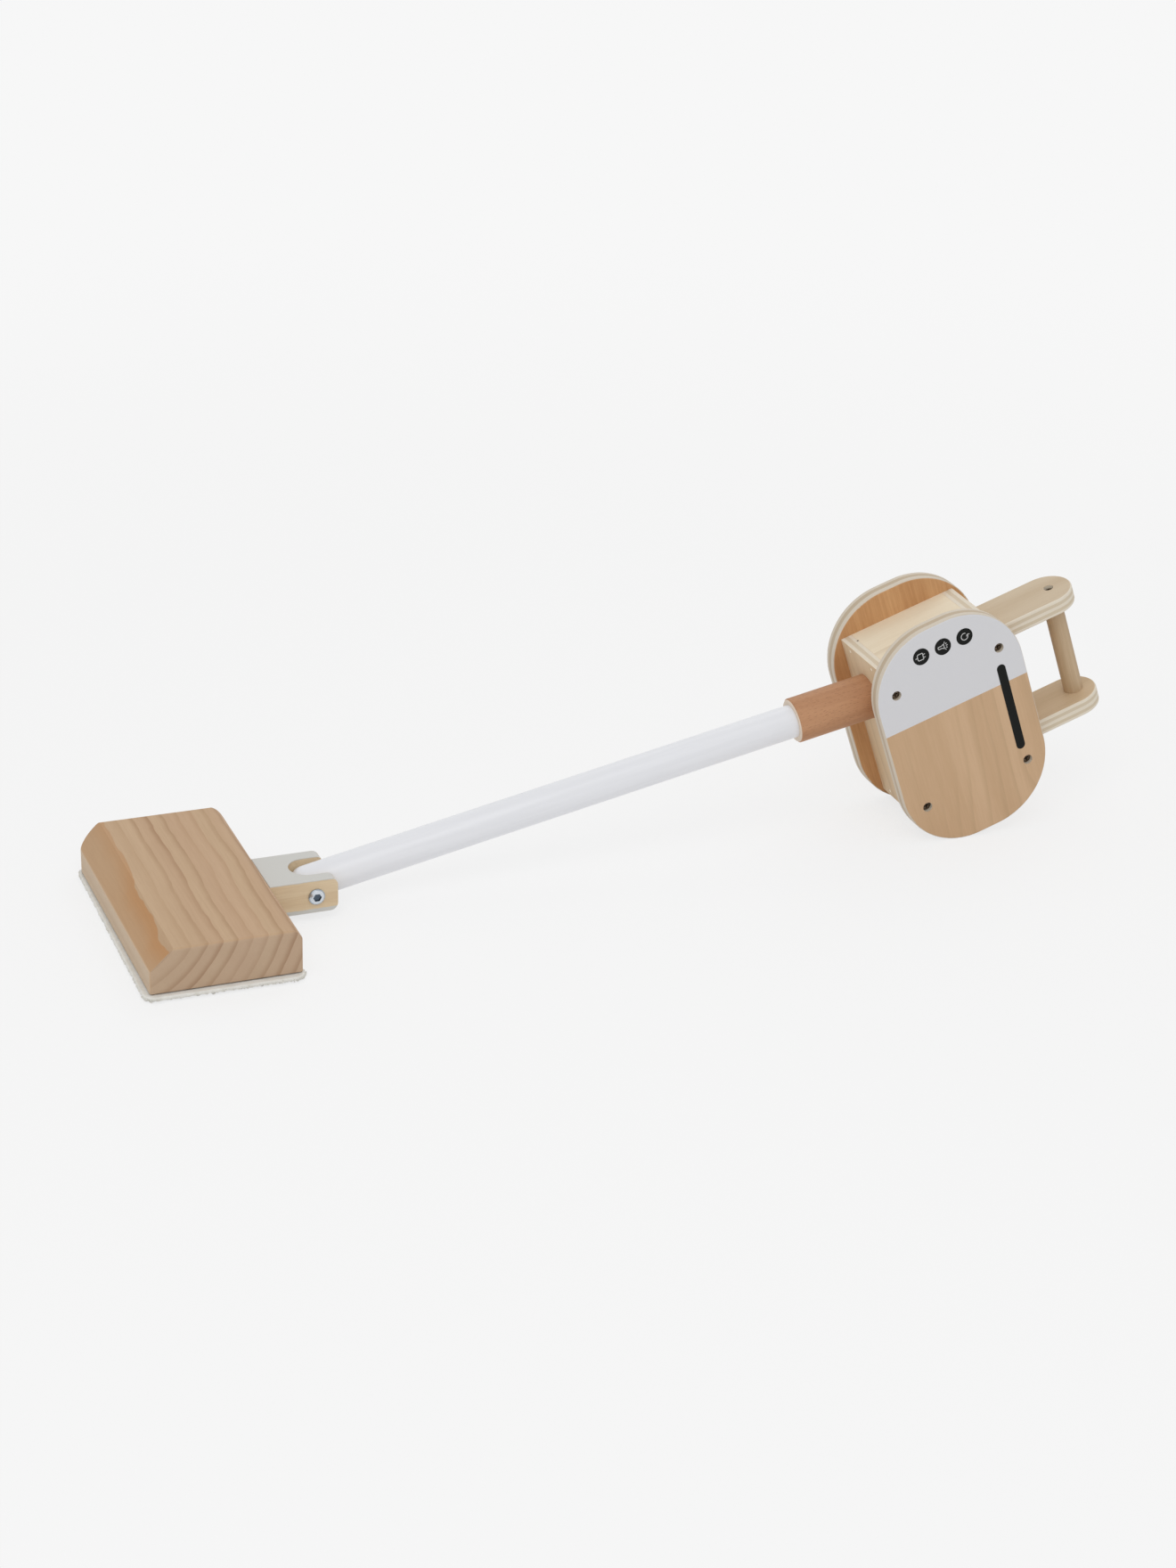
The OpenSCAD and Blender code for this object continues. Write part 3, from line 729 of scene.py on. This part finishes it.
def signTorch(draw):
    shape = signShapes
    for side in (-1, 1):
        neck = (shape["torchNeck"], side * shape["torchGrip"])
        draw.line((shape["torchBack"], side * shape["torchGrip"]), neck)
        draw.line(neck, (shape["torchFront"], side * shape["torchHead"]))
    draw.line((shape["torchBack"], -shape["torchGrip"]), (shape["torchBack"], shape["torchGrip"]))
    draw.line((shape["torchFront"], -shape["torchHead"]), (shape["torchFront"], shape["torchHead"]))
    for turn in shape["rayTurns"]:
        ray = Vector((math.cos(math.radians(turn)), math.sin(math.radians(turn))))
        draw.line(ray * shape["rayNear"], ray * shape["rayFar"])


def signTurn(draw):
    shape = signShapes
    draw.arc((0, 0), shape["ringRadius"], shape["ringStart"], shape["ringEnd"])
    a = math.radians(shape["ringEnd"])
    tip = Vector((math.cos(a), math.sin(a))) * shape["ringRadius"]
    for barb in shape["arrowBarbs"]:
        draw.line(tip, tip + Vector(barb))


# Draws lines about one button's middle
class SignPen:
    def __init__(self, bm, x, y, unit, width):
        self.bm = bm
        self.place = (x, y)
        self.unit = unit
        self.width = width

    def at(self, point):
        return (self.place[0] + point[0] * self.unit, self.place[1] + point[1] * self.unit)

    def line(self, start, end):
        stroke(self.bm, self.at(start), self.at(end), self.width)

    def arc(self, centre, radius, start, end):
        arcStroke(self.bm, self.at(centre), radius * self.unit, self.width, start, end)


def printMarks():
    signs = (signPlug, signTorch, signTurn)
    spots = [marks["firstX"] + i * marks["step"] for i in range(len(signs))]
    bm = bmesh.new()
    for x in spots:
        markDisc(bm, x, marks["height"], marks["radius"])
    roundBar(bm, marks["barX"], marks["barTop"], marks["barBottom"], marks["barWidth"])
    thicken(bm, list(bm.faces), marks["inkHeight"])
    bmesh.ops.transform(bm, matrix=panelFace, verts=bm.verts)
    finishPiece("printedButtons", bm, printInk("blackInk", ink["black"]), "body")
    bm = bmesh.new()
    for x, sign in zip(spots, signs):
        sign(SignPen(bm, x, marks["height"], marks["signUnit"], marks["lineWidth"]))
    bmesh.ops.remove_doubles(bm, verts=bm.verts, dist=marks["weld"])
    bmesh.ops.recalc_face_normals(bm, faces=bm.faces)
    thicken(bm, list(bm.faces), marks["lineLift"])
    bmesh.ops.translate(bm, verts=bm.verts, vec=(0, 0, marks["inkHeight"]))
    bmesh.ops.transform(bm, matrix=panelFace, verts=bm.verts)
    finishPiece("printedSigns", bm, printInk("whiteInk", ink["white"]), "body")


printMarks()
print("marks printed")

# Terry pad: a soft slab with a ragged pile of yarn loops along its lower edge and on its underside
terry = dict(
    # Where the slab lies against the solid pad, askew in degrees
    lift=1.5 * mm, spread=0.7 * mm, shift=1.2 * mm, askew=-0.7, floorGap=0.05 * mm, blockGap=0.02 * mm,
    nearCorner=7.8 * mm, farCorner=15.5 * mm, cornerSides=8, sameSpot=0.1 * mm,
    rim=1.1 * mm, rimSides=3, longEdge=20 * mm, cuts=40,
    puff=0.3 * mm, puffWaves=220, puffApart=(9, 4, 2), seed=7,
)
pile = dict(
    # One loop, and how the loops stand in a strip
    loopRadius=0.6 * mm, loopSteps=4, yarn=0.32 * mm, yarnSides=4, root=0.2 * mm, sizes=(0.7, 1.4),
    strip=20 * mm, stepX=0.7549, stepY=0.5698, jitter=0.08, leanX=0.5, leanY=0.4,
    # Along the rim, then on the underside
    edge=1.4 * mm, edgeLoops=28, edgeKinds=3, edgeRise=0.7 * mm, edgeInset=0.45 * mm, droop=0.8,
    cornerStep=5 * mm, cornerLeast=2,
    underLoops=70, underGrow=1.25, underKinds=2,
)
cotton = dict(
    low=tint(228, 226, 219), high=tint(237, 236, 231), toneRange=(0.35, 0.65), cloud=160.0,
    shade=tint(204, 201, 192), shadeShare=0.2, yarn=2600.0,
    specular=0.15, rough=0.9, sheen=0.25, sheenRough=0.5, bump=0.5, bumpDepth=0.3 * mm,
)


# Loose cotton yarn
def terryCotton():
    material, wires, shader = newMaterial("terryCotton", {
        "Roughness": cotton["rough"], "Specular IOR Level": cotton["specular"],
        "Sheen Weight": cotton["sheen"], "Sheen Roughness": cotton["sheenRough"]})
    point = pointIn(wires, footFrame)
    cloud = noise(point, cotton["cloud"], detail=3.0, roughness=0.6)
    yarn = noise(point, cotton["yarn"], roughness=0.6)
    colour = mixColour(softStep(cloud, *cotton["toneRange"]), cotton["low"], cotton["high"])
    colour = mixColour((1 - yarn) * cotton["shadeShare"], colour, cotton["shade"])
    finishSurface(shader, cotton, colour, height=yarn)
    return material


# One yarn loop: a short tube bent over half a turn
def yarnLoop(bm, place):
    start = Matrix.Translation((pile["loopRadius"], 0, 0))
    ring = bmesh.ops.create_circle(
        bm, cap_ends=True, segments=pile["yarnSides"], radius=pile["yarn"], matrix=start)
    geom = ring["verts"] + list({e for v in ring["verts"] for e in v.link_edges})
    geom += list({f for v in ring["verts"] for f in v.link_faces})
    bmesh.ops.spin(
        bm, geom=geom, cent=(0, 0, 0), axis=(0, 1, 0), angle=-math.pi, steps=pile["loopSteps"])
    grown = set(ring["verts"])
    front = set(grown)
    while front:
        front = {e.other_vert(v) for v in front for e in v.link_edges} - grown
        grown |= front
    bmesh.ops.transform(bm, matrix=place, verts=list(grown))


# A patch of loops over a strip that lies in x and y, standing along z: the steps spread them evenly
def loopPatch(dice, length, width, count, grow=1.0):
    bm = bmesh.new()
    for i in range(count):
        shareX = (i * pile["stepX"] + dice.uniform(0, pile["jitter"])) % 1 - 0.5
        shareY = (i * pile["stepY"] + dice.uniform(0, pile["jitter"])) % 1 - 0.5
        spot = Vector((shareX * length, shareY * width, -pile["root"]))
        leanX = dice.uniform(-pile["leanX"], pile["leanX"])
        leanY = dice.uniform(-pile["leanY"], pile["leanY"])
        lean = Euler((leanX, leanY, dice.uniform(0, math.pi)))
        place = Matrix.Translation(spot) @ lean.to_matrix().to_4x4()
        yarnLoop(bm, place @ Matrix.Scale(grow * dice.uniform(*pile["sizes"]), 4))
    mesh = bpy.data.meshes.new("loopPatch")
    bm.to_mesh(mesh)
    bm.free()
    return mesh


# Puts down one of the patches, turned either way round
def addPatch(bm, dice, patches, spot, along, out, stretch=1.0):
    patch = patches[dice.randrange(len(patches))].copy()
    axes = Matrix((along, out.cross(along), out)).transposed().to_4x4()
    flip = Matrix.Rotation(math.pi * dice.randrange(2), 4, "Z")
    patch.transform(Matrix.Translation(spot) @ axes @ Matrix.Diagonal((stretch, 1, 1, 1)) @ flip)
    bm.from_mesh(patch)
    bpy.data.meshes.remove(patch)


def padSlab(low, high):
    bm = bmesh.new()
    bmesh.ops.create_cube(bm, size=1)
    size = high - low
    bmesh.ops.scale(bm, verts=bm.verts, vec=size)
    bmesh.ops.translate(bm, verts=bm.verts, vec=(low + high) / 2)
    for endY, radius in ((low.y, terry["nearCorner"]), (high.y, terry["farCorner"])):
        upright = [e for e in bm.edges if abs(e.verts[0].co.z - e.verts[1].co.z) > size.z / 2]
        upright = [e for e in upright if abs(abs(e.verts[0].co.x) - high.x) < terry["sameSpot"]]
        upright = [e for e in upright if abs(e.verts[0].co.y - endY) < terry["sameSpot"]]
        bmesh.ops.bevel(
            bm, geom=upright, offset=radius, segments=terry["cornerSides"], profile=0.5,
            affect="EDGES", material=-1)
    rims = [e for e in bm.edges if abs(e.verts[0].co.z - e.verts[1].co.z) < size.z / 4]
    bmesh.ops.bevel(
        bm, geom=rims, offset=terry["rim"], segments=terry["rimSides"], profile=0.5,
        affect="EDGES", material=-1)
    long = [e for e in bm.edges if e.calc_length() > terry["longEdge"]]
    bmesh.ops.subdivide_edges(bm, edges=long, cuts=terry["cuts"], use_grid_fill=True)
    for v in bm.verts:
        v.co.x += softNoise.noise(v.co * terry["puffWaves"]) * terry["puff"]
        v.co.y += softNoise.noise(v.co * terry["puffWaves"] + Vector(terry["puffApart"])) * terry["puff"]
    return bm


# The slab's round corners: the signs of x and y there, the radius and the middle
def padCorners(low, high):
    corners = []
    for signX in (-1, 1):
        for signY, radius, endY in ((-1, terry["nearCorner"], low.y), (1, terry["farCorner"], high.y)):
            middle = Vector((signX * (high.x - radius), endY - signY * radius, low.z + pile["edgeRise"]))
            corners.append((signX, signY, radius, middle))
    return corners


# Loops along the rim, leaning outwards and down
def rimPile(bm, dice, low, high, corners):
    strip = pile["strip"]
    kinds = range(pile["edgeKinds"])
    patches = [loopPatch(dice, strip, pile["edge"], pile["edgeLoops"]) for kind in kinds]
    rimZ = low.z + pile["edgeRise"]
    near = terry["nearCorner"]
    far = terry["farCorner"]
    down = Vector((0, 0, -pile["droop"]))
    # Straight runs as start, end and outward side, then the round corners
    runs = [
        ((low.x, low.y + near), (low.x, high.y - far), (-1, 0)),
        ((high.x, low.y + near), (high.x, high.y - far), (1, 0)),
        ((low.x + near, low.y), (high.x - near, low.y), (0, -1)),
        ((low.x + far, high.y), (high.x - far, high.y), (0, 1)),
    ]
    for runStart, runEnd, runSide in runs:
        start = Vector((*runStart, rimZ))
        run = Vector((*runEnd, rimZ)) - start
        side = Vector((*runSide, 0))
        count = max(1, round(run.length / strip))
        for i in range(count):
            spot = start + run * ((i + 0.5) / count) - side * pile["edgeInset"]
            stretch = run.length / count / strip
            addPatch(bm, dice, patches, spot, run.normalized(), (side + down).normalized(), stretch)
    for signX, signY, radius, middle in corners:
        count = max(pile["cornerLeast"], round(radius / pile["cornerStep"]))
        stretch = radius * math.pi / 2 / count / strip
        for i in range(count):
            a = (i + 0.5) * math.pi / 2 / count
            side = Vector((signX * math.cos(a), signY * math.sin(a), 0))
            along = Vector((-side.y, side.x, 0))
            spot = middle + side * (radius - pile["edgeInset"])
            addPatch(bm, dice, patches, spot, along, (side + down).normalized(), stretch)


# Loops on the underside: square patches, drawn in at the round corners
def underPile(bm, dice, low, high, corners):
    strip = pile["strip"]
    kinds = range(pile["underKinds"])
    patches = [loopPatch(dice, strip, strip, pile["underLoops"], pile["underGrow"]) for kind in kinds]
    firstVert = len(bm.verts)
    centre = (low + high) / 2
    reach = (high - low) / 2 - Vector((1, 1, 0)) * (strip / 2 + terry["rim"])
    columns = round((high.x - low.x) / strip)
    rows = round((high.y - low.y) / strip)
    for column in range(columns):
        for row in range(rows):
            shareX = 2 * column / (columns - 1) - 1
            shareY = 2 * row / (rows - 1) - 1
            spot = Vector((centre.x + shareX * reach.x, centre.y + shareY * reach.y, low.z))
            addPatch(bm, dice, patches, spot, Vector((1, 0, 0)), Vector((0, 0, -1)))
    bm.verts.ensure_lookup_table()
    for v in bm.verts[firstVert:]:
        for signX, signY, radius, middle in corners:
            across = (v.co.x - middle.x) * signX / radius
            deep = (v.co.y - middle.y) * signY / radius
            if across > 0 and deep > 0:
                v.co.x = middle.x + signX * radius * across * math.sqrt(1 - deep * deep / 2)
                v.co.y = middle.y + signY * radius * deep * math.sqrt(1 - across * across / 2)


def terryPad():
    dice = random.Random(terry["seed"])
    low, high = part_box("cleaning_pad")
    spread = Vector((terry["spread"], terry["spread"], 0))
    shift = Vector((0, -terry["shift"], 0))
    slabLow = low - spread + shift + Vector((0, 0, terry["lift"]))
    slabHigh = high + spread + shift
    bm = padSlab(slabLow, slabHigh)
    corners = padCorners(slabLow, slabHigh)
    rimPile(bm, dice, slabLow, slabHigh, corners)
    underPile(bm, dice, slabLow, slabHigh, corners)
    # It was pressed on a little askew, and its pile is trimmed level with the floor
    askew = Matrix.Rotation(math.radians(terry["askew"]), 4, "Z")
    bmesh.ops.transform(bm, matrix=askew, verts=bm.verts)
    for v in bm.verts:
        v.co.z = max(low.z + terry["floorGap"], min(high.z - terry["blockGap"], v.co.z))
    pad = finishPiece("terryPad", bm, terryCotton(), "foot")
    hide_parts("cleaning_pad")
    print("terry pad faces", len(pad.data.polygons))


terryPad()
print("terry pad made")

# Camera at the photograph's place
cameraPlace = dict(
    aim=(0.26569, 0.0, 0.05787), azimuth=21.69, elevation=24.63, roll=1.573, distance=2.1576,
    lens=77.16, sensor=36, farthest=50,
)


def makeCamera():
    a = math.radians(cameraPlace["azimuth"])
    e = math.radians(cameraPlace["elevation"])
    back = Vector((-math.sin(a) * math.cos(e), -math.cos(a) * math.cos(e), math.sin(e)))
    data = bpy.data.cameras.new("photoCamera")
    data.sensor_width = cameraPlace["sensor"]
    data.lens = cameraPlace["lens"]
    data.clip_end = cameraPlace["farthest"]
    camera = bpy.data.objects.new("photoCamera", data)
    turn = (-back).to_track_quat("-Z", "Y").to_matrix().to_4x4()
    roll = Matrix.Rotation(math.radians(cameraPlace["roll"]), 4, "Z")
    spot = Vector(cameraPlace["aim"]) + back * cameraPlace["distance"]
    camera.matrix_world = Matrix.Translation(spot) @ turn @ roll
    bpy.context.scene.collection.objects.link(camera)
    bpy.context.scene.camera = camera


makeCamera()
print("camera placed")

# Stage: pale floor, soft light from a big overhead panel and a weaker one behind
studio = dict(
    paper=tint(247, 247, 247), ambient=0.66,
    floorSize=16.0, floorDrop=0.2 * mm, floorClear=0.8, fade=(0.5, 1.6),
    lamps=[
        dict(name="keyPanel", at=(-0.5, -1.3, 2.1), size=1.8, power=17.0),
        dict(name="backPanel", at=(1.5, 1.4, 1.7), size=1.6, power=7.0),
    ],
)
stageMiddle = (cadLow + cadHigh) / 2


# 1 for rays that come from the camera, straight, by a mirror or through a clear thing
def raysSeen(wires):
    straight = wires.node("ShaderNodeLightPath", out="Is Camera Ray")
    mirrored = wires.node("ShaderNodeLightPath", out="Is Glossy Ray")
    through = wires.node("ShaderNodeLightPath", out="Is Transmission Ray")
    return straight.math("MAXIMUM", mirrored).math("MAXIMUM", through)


# Seen directly, most of the floor is the pale room behind it, so only a soft shadow is left on it,
# and away from the part it fades out altogether
def paperFloor():
    material = bpy.data.materials.new("paperFloor")
    material.use_nodes = True
    wires = Wire(material.node_tree)
    wires.tree.nodes.clear()
    matt = wires.node("ShaderNodeBsdfDiffuse", None, {"Color": studio["paper"]})
    clear = wires.node("ShaderNodeBsdfTransparent")
    x, y, z = parts(pointIn(wires, dict(origin=stageMiddle, tilt=0.0)))
    fade = softStep((x * x + y * y).math("SQRT"), *studio["fade"])
    share = raysSeen(wires) * (studio["floorClear"] + fade * (1 - studio["floorClear"]))
    both = wires.node("ShaderNodeMixShader", None, {0: share, 1: matt, 2: clear})
    wires.node("ShaderNodeOutputMaterial", None, {"Surface": both})
    return material


def makeFloor():
    bm = bmesh.new()
    bmesh.ops.create_grid(bm, x_segments=1, y_segments=1, size=studio["floorSize"] / 2)
    bmesh.ops.translate(bm, verts=bm.verts, vec=(0, 0, -studio["floorDrop"]))
    mesh = bpy.data.meshes.new("paperFloor")
    bm.to_mesh(mesh)
    bm.free()
    mesh.materials.append(paperFloor())
    floor = bpy.data.objects.new("paperFloor", mesh)
    bpy.context.scene.collection.objects.link(floor)


def makeWorld():
    world = bpy.data.worlds.new("studioWorld")
    bpy.context.scene.world = world
    world.use_nodes = True
    wires = Wire(world.node_tree)
    wires.tree.nodes.clear()
    room = wires.node("ShaderNodeBackground", None, {"Color": (1, 1, 1, 1), "Strength": studio["ambient"]})
    paper = wires.node("ShaderNodeBackground", None, {"Color": studio["paper"], "Strength": 1.0})
    both = wires.node("ShaderNodeMixShader", None, {0: raysSeen(wires), 1: room, 2: paper})
    wires.node("ShaderNodeOutputWorld", None, {"Surface": both})


def makeLamps():
    for lamp in studio["lamps"]:
        data = bpy.data.lights.new(lamp["name"], "AREA")
        data.size = lamp["size"]
        data.energy = lamp["power"]
        holder = bpy.data.objects.new(lamp["name"], data)
        holder.location = lamp["at"]
        holder.rotation_euler = (stageMiddle - Vector(lamp["at"])).to_track_quat("-Z", "Y").to_euler()
        bpy.context.scene.collection.objects.link(holder)


makeFloor()
makeWorld()
makeLamps()
bpy.context.scene.view_settings.view_transform = "Standard"
print("stage set")
